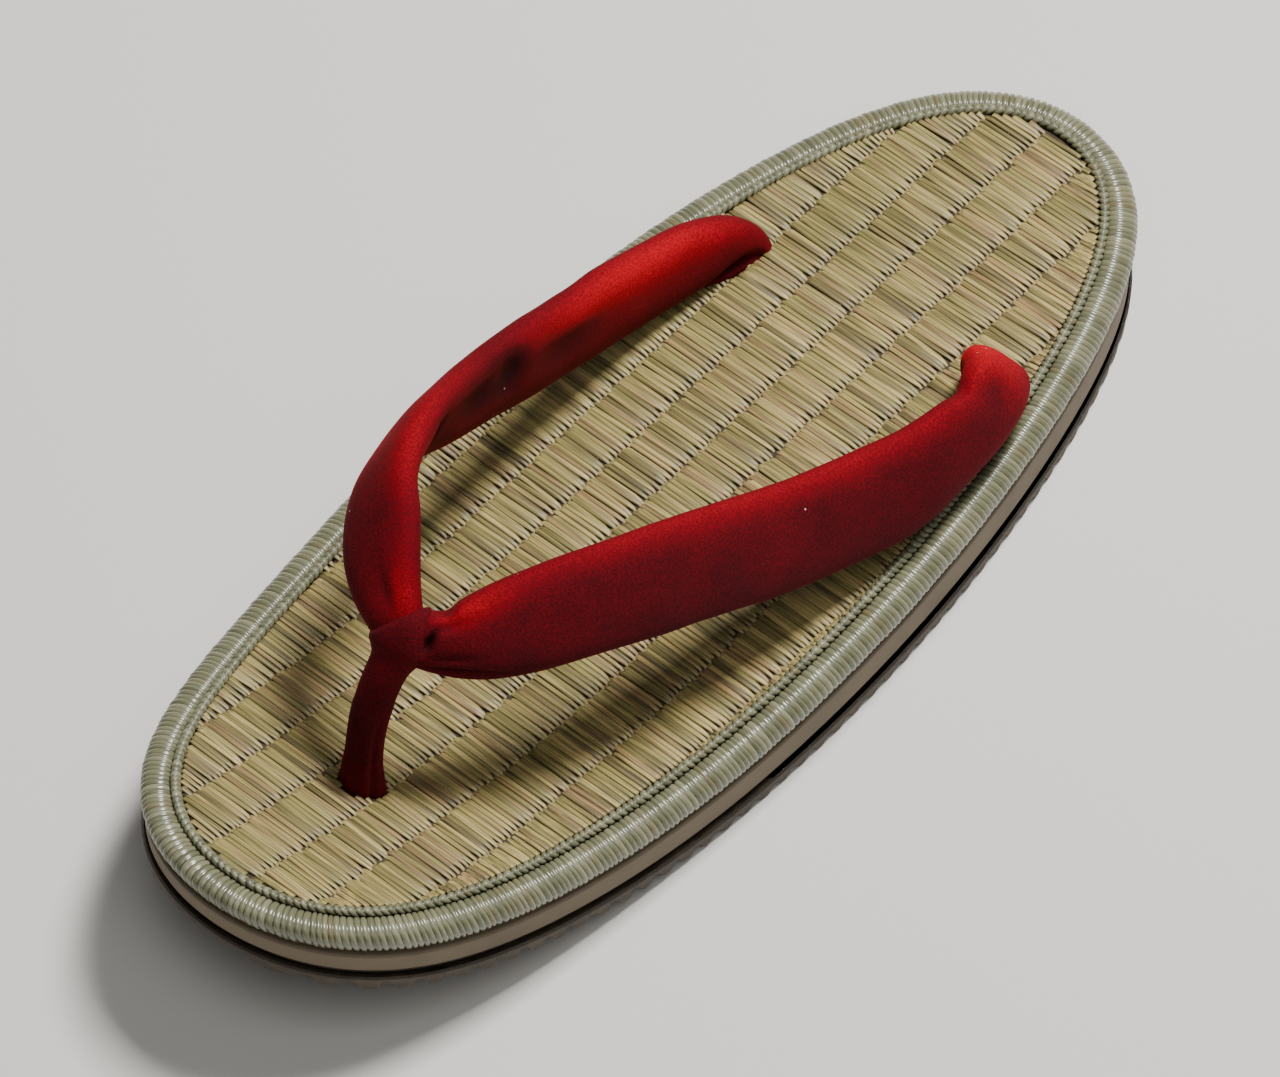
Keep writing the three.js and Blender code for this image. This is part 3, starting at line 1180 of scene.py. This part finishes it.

# Folds with painted_shade above 0 paint shade into creases and onto faces turned from the light; below 0 they
# paint highlights on lit upper edges and faces.
THONG_FOLDS = (
    Fold(row=15.97, turn=282.0, rows=0.13, spread=26.0, depth=1.2, slant=0.2, painted_shade=1.3),
    Fold(row=16.9, turn=284.0, rows=0.46, spread=22.0, depth=1.0, slant=-0.3, painted_shade=1.5),
    Fold(row=17.5, turn=291.0, rows=0.28, spread=25.0, depth=1.1, slant=-0.3, painted_shade=1.6),
    Fold(row=18.8, turn=275.0, rows=0.65, spread=14.0, depth=0.6, painted_shade=0.75),
    Fold(row=23.3, turn=248.0, rows=0.24, spread=46.0, depth=1.9, slant=1.8, painted_shade=0.7),
    Fold(row=23.9, turn=222.0, rows=0.4, spread=24.0, depth=-0.7, slant=1.2),
    Fold(row=13.6, turn=140.0, rows=0.7, spread=42.0, depth=-1.0),
    Fold(row=13.1, turn=75.0, rows=0.4, spread=12.0, depth=0.5, slant=0.3, painted_shade=0.2),
    Fold(row=3.9, turn=0.0, rows=0.34, spread=40.0, depth=1.4),
    Fold(row=2.8, turn=48.0, rows=0.5, spread=44.0, depth=-0.6, slant=-0.5),
    Fold(row=3.4, turn=70.0, rows=0.35, spread=30.0, depth=0.4, slant=-0.5, painted_shade=0.2),
    Fold(row=11.05, turn=8.0, rows=0.2, spread=40.0, depth=1.5),
    Fold(row=11.43, turn=88.0, rows=0.09, spread=18.0, depth=1.9, slant=0.55, painted_shade=1.0),
    Fold(row=11.0, turn=62.0, rows=0.42, spread=11.0, depth=0.5, painted_shade=0.1),
    Fold(row=11.0, turn=115.0, rows=0.4, spread=10.0, depth=0.5, painted_shade=0.2),
    Fold(row=10.95, turn=150.0, rows=0.7, spread=8.0, depth=1.1, painted_shade=0.7),
    Fold(row=10.9, turn=182.0, rows=0.75, spread=17.0, depth=-1.2),
    Fold(row=2.0, turn=40.0, rows=1.3, spread=75.0, painted_shade=-1.0),
    Fold(row=7.5, turn=150.0, rows=3.4, spread=60.0, painted_shade=0.4),
    Fold(row=7.0, turn=20.0, rows=4.0, spread=35.0, painted_shade=-0.35),
    Fold(row=10.6, turn=45.0, rows=0.6, spread=30.0, painted_shade=-0.45),
    Fold(row=21.0, turn=325.0, rows=2.4, spread=45.0, painted_shade=-0.8),
    Fold(row=19.4, turn=312.0, rows=1.5, spread=26.0, painted_shade=-0.4),
    Fold(row=12.9, turn=40.0, rows=0.8, spread=60.0, painted_shade=-0.4),
    Fold(row=15.5, turn=20.0, rows=1.2, spread=50.0, painted_shade=-0.4),
)

POST_TABLE = (
    StrapRow(-1.0, 80.6, 2.2, 7.8, 6.6),
    StrapRow(-0.8, 80.8, 8.2, 8.2, 7.0),
    StrapRow(-0.2, 79.5, 14.5, 7.0, 6.2),
    StrapRow(0.5, 77.0, 22.5, 7.0, 6.2),
    StrapRow(0.6, 72.8, 30.5, 7.6, 6.4),
    StrapRow(0.0, 68.6, 35.5, 8.4, 6.6),
)

POST_FOLDS = (
    Fold(row=1.6, turn=203.0, rows=1.5, spread=9.0, depth=1.1),
    Fold(row=0.9, turn=168.0, rows=0.5, spread=26.0, depth=-0.6),
    Fold(row=3.3, turn=230.0, rows=0.5, spread=30.0, depth=0.35),
)


@dataclass
class Thong:
    """The padded velvet straps, one piece from the left hole over the toes to the right hole."""

    strip: PaddedStrip
    sides: int = 72
    steps: int = 560
    fill: float = 0.7
    finish: Finish = Velvet(name="red_cotton_velvet")

    def build(self) -> None:
        """Makes the straps and gives them their finish."""
        shape = self.strip.whole_tube(self.sides, self.steps)
        straps = Piece("thong_velvet_straps", "thong_upper", ("thong_upper",)).finish(shape, self.finish)


@dataclass
class ToePost:
    """The folded velvet that stands in the footbed and goes round the thong's knot."""

    stem: PaddedStrip
    thong: PaddedStrip
    knot_row: float = 12.0
    loop_rows: float = 0.5
    loop_lean: float = -0.12
    loop_flare: float = 0.04
    clearance: float = 0.3
    cloth: float = 1.3
    cloth_round: float = 0.7
    sides: int = 48
    stem_steps: int = 60
    loop_steps: int = 20
    voxel_mm: float = 0.32
    smoothing: int = 2
    knot_smoothing: int = 36
    smooth_share: float = 0.5
    knot_above: float = 43.0
    # painted shade on the stem, fading out between the two heights in mm below the knot
    stem_painted_shade: float = 0.3
    stem_shade_fade: tuple[float, float] = (46.0, 56.0)
    fill: float = 0.4
    finish: Finish = Velvet(name="folded_red_velvet", lint_mm=11.0)

    def loop_row(self, along: float, turn: float) -> float:
        """Finds the thong's row under a corner of the loop, which is widest over the thong's upper edge.

        Args:
            along: The share along the loop.
            turn: The angle round it.

        Returns:
            The row.
        """
        over = math.cos(turn)
        reach = self.loop_rows + self.loop_flare * over
        return self.knot_row + self.loop_lean * over + (2 * along - 1) * reach

    def build(self) -> None:
        """Makes the stem and the loop, joins them as one cloth, paints shade on the stem and gives it its
        finish.
        """
        shape = self.stem.whole_tube(self.sides, self.stem_steps)
        loop = self.thong.tube(
            self.sides,
            self.loop_steps,
            self.loop_row,
            lambda along: self.clearance + self.cloth * math.sin(math.pi * along) ** self.cloth_round,
        )
        loop_mesh = settled(loop, "toe_post_loop")
        shape.from_mesh(loop_mesh)
        bpy.data.meshes.remove(loop_mesh)
        post = Piece("toe_post_velvet", "toe_post", ("toe_post",)).finish(shape, self.finish)
        remesh = post.modifiers.new("one_cloth", "REMESH")
        remesh.mode = "VOXEL"
        remesh.voxel_size = self.voxel_mm * METRES_PER_MM
        scene_now = bpy.context.evaluated_depsgraph_get()
        joined = bpy.data.meshes.new_from_object(post.evaluated_get(scene_now))
        post.modifiers.clear()
        soft = bmesh.new()
        soft.from_mesh(joined)
        knot = [vert for vert in soft.verts if vert.co.z > self.knot_above * METRES_PER_MM]
        axes = {"use_axis_x": True, "use_axis_y": True, "use_axis_z": True}
        for verts, times in ((list(soft.verts), self.smoothing), (knot, self.knot_smoothing)):
            for _ in range(times):
                bmesh.ops.smooth_vert(soft, verts=verts, factor=self.smooth_share, **axes)
        # the pattern map carries painted shade on the stem, fading out towards the knot
        nap = soft.loops.layers.uv.new("strand")
        for face in soft.faces:
            for corner in face.loops:
                height = corner.vert.co.z / METRES_PER_MM
                painted_shade = self.stem_painted_shade * (1.0 - smooth_step(*self.stem_shade_fade, height))
                corner[nap].uv = (painted_shade, 0.0)
        soft.to_mesh(post.data)
        soft.free()
        bpy.data.meshes.remove(joined)
        post.data.shade_smooth()


@dataclass
class Footbed:
    """The woven rush mat on its core: columns of strands across the foot, tucked under at the warp lines."""

    form: SoleForm
    holes: Sequence[Sequence[Vector]]
    reach: float = 1.0
    depth: float = 6.9
    ledge: float = 1.9
    ledge_rise: float = 0.2
    core_below: float = 0.6
    core_rows: int = 320
    core_columns: int = 64
    pit_depth: float = 3.5
    pit_search: float = 5.0
    height_slack: float = 0.01
    column_pitch: float = 10.5
    column_shift: float = 3.7
    column_skew: float = 0.028
    columns_each_side: int = 5
    strand_pitch: float = 1.06
    strand_width: float = 1.36
    strand_height: float = 0.5
    strand_overlap: float = 1.2
    width_draw: tuple[float, float] = (0.78, 1.1)
    height_draw: tuple[float, float] = (0.85, 1.1)
    turn_draw: float = 1.2
    lift_draw: float = 0.05
    place_draw: float = 0.07
    end_draw: float = 0.25
    tip_dip: float = 0.55
    tip_drop: float = 1.3
    tip_length: float = 2.6
    tip_start: float = -0.4
    tip_width: float = 0.5
    tip_height: float = 0.45
    tuck_dip: float = 0.85
    tuck_start: float = 0.5
    tuck_length: float = 3.4
    edge_reach: float = 0.4
    shortest: float = 1.2
    ring_sides: int = 6
    tone_margin: float = 0.1
    shares: tuple[float, ...] = (0.0, 0.02, 0.08, 0.2, 0.8, 0.92, 0.98, 1.0)
    seed: int = 11
    # the core's dark tone is painted shade: it shows through the gaps between strands and in the strap holes
    core_finish: Finish = MottledSolid(
        name="rush_core_painted_shade",
        main_tone="#3f3522",
        mottle=Overlay("#2c2417"),
        stain=Overlay("#56492f", STAIN_REACH, 0.4),
        mottle_mm=5.0,
        roughness=0.9,
    )
    weave_finish: Finish = WovenRush(name="woven_dried_rush")

    def build(self) -> None:
        """Makes the core and the woven strands and gives them their finishes."""
        self.build_core()
        self.build_weave()

    def spans_outside(self, low: float, high: float, y: float) -> list[tuple[float, float]]:
        """The parts of a strand's span that no hole takes away.

        Args:
            low: The span's left end.
            high: The span's right end.
            y: The strand's place along the sandal.

        Returns:
            The spans that are left.
        """
        spans = [(low, high)]
        for hole in self.holes:
            cuts = []
            for before, after in zip(hole, [*hole[1:], hole[0]]):
                if (before.y - y) * (after.y - y) < 0:
                    share = (y - before.y) / (after.y - before.y)
                    cuts.append(before.x + share * (after.x - before.x))
            if cuts:
                left, right = min(cuts), max(cuts)
                spans = [part for a, b in spans for part in ((a, min(b, left)), (max(a, right), b))]
        return [(a, b) for a, b in spans if b - a > self.shortest]

    def inside_hole(self, spot: Vector) -> bool:
        """Whether a point in plan is in a hole."""
        whole = self.spans_outside(spot.x - self.pit_search, spot.x + self.pit_search, spot.y)
        return not any(a <= spot.x <= b for a, b in whole)

    def build_core(self) -> None:
        """Makes the core under the strands, dark as painted shade in the gaps and the strap holes, and sunk
        where the straps go in.
        """
        top = self.form.mat_top
        profile = [
            LayerRow(self.reach, lambda y: top(y) - self.depth),
            LayerRow(self.reach, lambda y: top(y) - self.ledge),
            LayerRow(self.edge_reach, lambda y: top(y) - self.ledge + self.ledge_rise),
            LayerRow(0.0, lambda y: top(y) - self.core_below),
        ]
        shape = SoleLayer(self.form, self.core_rows, self.core_columns).build(profile)
        for vert in shape.verts:
            on_top = vert.co.z > top(vert.co.y) - self.core_below - self.height_slack
            if on_top and self.inside_hole(vert.co):
                vert.co.z -= self.pit_depth
        Piece("footbed_core", "footbed", ("footbed",)).finish(shape, self.core_finish)

    def strand(
        self,
        shape: BMesh,
        number: int,
        span: tuple[float, float],
        whole: tuple[float, float],
        y: float,
        draws: random.Random,
    ) -> None:
        """Adds one strand to the weave.

        Args:
            shape: The weave's mesh.
            number: The strand's number, for its tone.
            span: The strand's two ends, as cut by the edge and the holes.
            whole: The strand's two ends if nothing cut it.
            y: Its place along the sandal.
            draws: The source of its small differences.
        """
        weave_map = shape.loops.layers.uv.active
        width = self.strand_width * draws.uniform(*self.width_draw)
        height = self.strand_height * draws.uniform(*self.height_draw)
        turned = math.radians(draws.gauss(0.0, self.turn_draw))
        lift = draws.gauss(0.0, self.lift_draw)
        last = len(self.shares) - 1
        grid = bmesh.ops.create_grid(shape, x_segments=self.ring_sides, y_segments=last, size=GRID_HALF)
        made = grid["verts"]
        spots = {vert: (vert.co.x + GRID_HALF, round((vert.co.y + GRID_HALF) * last)) for vert in made}
        places = [span[0] + share * (span[1] - span[0]) for share in self.shares]
        middle = (whole[0] + whole[1]) / 2
        tone_room = 1.0 - 2 * self.tone_margin
        for face in {face for vert in made for face in vert.link_faces}:
            for loop in face.loops:
                around, index = spots[loop.vert]
                share = (places[index] - whole[0]) / (whole[1] - whole[0])
                loop[weave_map].uv = (share, number + self.tone_margin + tone_room * around)
        for vert, (around, index) in spots.items():
            x = places[index]
            full = smooth_step(self.tip_start, self.tip_length, x - whole[0])
            size = 0.0 if index in (0, last) else 1.0
            turn = 2 * math.pi * around
            side = size * (self.tip_width + (width - self.tip_width) * full) / 2 * math.cos(turn)
            thick = height * (self.tip_height + (1.0 - self.tip_height) * full)
            rise = size * thick / 2 * math.sin(turn)
            place_y = y + side + math.tan(turned) * (x - middle)
            sunk = self.tip_dip * (1.0 - smooth_step(0.0, self.tip_drop, x - whole[0]))
            sunk += self.tuck_dip * (1.0 - smooth_step(self.tuck_start, self.tuck_length, whole[1] - x))
            base = self.form.mat_top(place_y) - self.strand_height / 2 + lift - sunk
            vert.co = Vector((x, place_y, base + rise))

    def build_weave(self) -> None:
        """Lays the strands column by column, each column half a strand on from the last."""
        draws = random.Random(self.seed)
        shape = bmesh.new()
        shape.loops.layers.uv.new("strand")
        count = int(2 * self.form.half_length / self.strand_pitch)
        number = 0
        for column in range(-self.columns_each_side, self.columns_each_side):
            for row in range(count):
                offset = 0.5 * (column % 2)
                y = (row + 0.5 + offset - count / 2) * self.strand_pitch
                y += draws.gauss(0.0, self.place_draw)
                left = self.column_shift + column * self.column_pitch + self.column_skew * y
                whole = (
                    left - self.strand_overlap + draws.gauss(0.0, self.end_draw),
                    left + self.column_pitch + self.strand_overlap + draws.gauss(0.0, self.end_draw),
                )
                limit = self.form.half_width(y)
                if limit == 0.0:
                    continue
                swing = self.form.swing(y)
                low = max(whole[0], -limit - self.edge_reach - swing)
                high = min(whole[1], limit + self.edge_reach - swing)
                for span in self.spans_outside(low, high, y):
                    self.strand(shape, number, span, whole, y, draws)
                    number += 1
        bmesh.ops.remove_doubles(shape, verts=shape.verts, dist=WELD_DISTANCE)
        Piece("footbed_woven_strands", "footbed").finish(shape, self.weave_finish)


@dataclass
class Studio:
    """The pale floor, the soft lights and the camera."""

    floor_tone: str = "#dcd9d2"
    floor_roughness: float = 0.9
    floor_half_mm: float = 2400.0
    floor_faces: int = 8
    camera_mm: tuple[float, float, float] = (-448.3, 562.2, 1046.3)
    target_mm: tuple[float, float, float] = (0.0, 0.0, 19.4)
    roll_degrees: float = -1.83
    lens_mm: float = 196.5
    right_mm: float = -3.0
    down_mm: float = 5.0
    clip_start: float = 0.05
    clip_end: float = 20.0
    key_from: tuple[float, float, float] = (-0.06, -0.4, 1.0)
    key_distance: float = 1.1
    key_size: float = 0.26
    key_watts: float = 19.0
    fill_from: tuple[float, float, float] = (-0.36, 0.29, 1.0)
    fill_distance: float = 1.3
    fill_size: float = 0.8
    fill_watts: float = 4.5
    sky_tone: str = "#f4f6fa"
    sky_strength: float = 0.1

    def build(self) -> None:
        """Sets up the floor, the lights and the camera."""
        self.build_floor()
        self.build_light("key_light", self.key_from, self.key_distance, self.key_size, self.key_watts)
        self.build_light("fill_light", self.fill_from, self.fill_distance, self.fill_size, self.fill_watts)
        self.build_sky()
        self.build_camera()

    def build_floor(self) -> None:
        """Lays the plain floor."""
        shape = bmesh.new()
        half = self.floor_half_mm * METRES_PER_MM
        bmesh.ops.create_grid(shape, x_segments=self.floor_faces, y_segments=self.floor_faces, size=half)
        mesh = settled(shape, "studio_floor")
        material = bpy.data.materials.new("matt_studio_paper")
        material.use_nodes = True
        shader = material.node_tree.nodes["Principled BSDF"]
        shader.inputs["Base Color"].default_value = linear(self.floor_tone)
        shader.inputs["Roughness"].default_value = self.floor_roughness
        mesh.materials.append(material)
        floor = add_object("studio_floor", mesh)

    def build_light(
        self, name: str, come_from: tuple[float, float, float], distance: float, size: float, watts: float
    ) -> None:
        """Hangs one square soft light that faces the sandal.

        Args:
            name: The light's name.
            come_from: The direction from the sandal to the light.
            distance: Its distance in metres.
            size: The length of its sides in metres.
            watts: Its power.
        """
        lamp = bpy.data.lights.new(name, "AREA")
        lamp.size = size
        lamp.energy = watts
        light = add_object(name, lamp)
        away = Vector(come_from).normalized()
        light.location = away * distance
        light.rotation_euler = (-away).to_track_quat("-Z", "Y").to_euler()

    def build_sky(self) -> None:
        """Fills the room with even pale light."""
        world = bpy.data.worlds.new("studio_room")
        world.use_nodes = True
        back = world.node_tree.nodes["Background"]
        back.inputs["Color"].default_value = linear(self.sky_tone)
        back.inputs["Strength"].default_value = self.sky_strength
        bpy.context.scene.world = world

    def build_camera(self) -> None:
        """Puts the camera at the viewing angle and centres the sandal."""
        place = Vector(self.camera_mm)
        target = Vector(self.target_mm)
        look = (target - place).normalized()
        turn = look.to_track_quat("-Z", "Y").to_matrix()
        turn = Matrix.Rotation(math.radians(self.roll_degrees), 3, look) @ turn
        place += self.right_mm * turn.col[0] - self.down_mm * turn.col[1]
        lens = bpy.data.cameras.new("studio_camera")
        lens.lens = self.lens_mm
        lens.clip_start = self.clip_start
        lens.clip_end = self.clip_end
        camera = add_object("studio_camera", lens)
        camera.matrix_world = Matrix.Translation(place * METRES_PER_MM) @ turn.to_4x4()
        bpy.context.scene.camera = camera


@dataclass
class Sandal:
    """The whole sandal, from the floor up."""

    form: SoleForm = field(default_factory=SoleForm)
    left_hole_row: float = 1.0
    right_hole_row: float = 24.0
    post_hole_row: float = 1.0
    hole_room: float = 0.2

    def build(self) -> None:
        """Builds and dresses every piece in order."""
        strap = PaddedStrip(self.form, THONG_TABLE, THONG_FOLDS)
        stem = PaddedStrip(self.form, POST_TABLE, POST_FOLDS, squareness=2.2, lumps=0.15, lies=WidthWay.LEVEL)
        Outsole(self.form).build()
        Midsole(self.form).build()
        holes = [
            strap.hole(self.left_hole_row, self.hole_room),
            strap.hole(self.right_hole_row, self.hole_room),
            stem.hole(self.post_hole_row, self.hole_room),
        ]
        Footbed(self.form, holes).build()
        WoundCord(
            self.form,
            Piece("edge_roll_wound_rush", "edge_roll", ("edge_roll",)),
            WoundRush(name="glossy_wound_rush"),
            radius=3.1,
            beyond=4.45,
            below=3.7,
            turn_pitch=1.2,
            groove_depth=0.42,
            sides=20,
            seed=5,
            bulge=0.6,
        ).build()
        WoundCord(
            self.form,
            Piece("inner_welt_wound_rush", "inner_welt", ("inner_welt",)),
            WoundRush(
                name="stitched_wound_rush",
                roughness=0.42,
                coat=0.1,
                # painted shade in the grooves between the welt's turns
                groove_shade=Overlay("#3d3a2a", (0.2, 0.0), 0.95),
            ),
            radius=1.0,
            beyond=1.3,
            below=0.35,
            turn_pitch=1.45,
            groove_depth=0.45,
            sides=10,
            seed=8,
            slant=0.6,
        ).build()
        Thong(strap).build()
        ToePost(stem, strap).build()


def main() -> None:
    """Builds the sandal and its studio."""
    logging.basicConfig(level=logging.INFO, format="%(name)s %(message)s")
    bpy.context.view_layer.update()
    Studio().build()
    Sandal().build()
    bpy.context.view_layer.update()


if __name__ == "__main__":
    main()
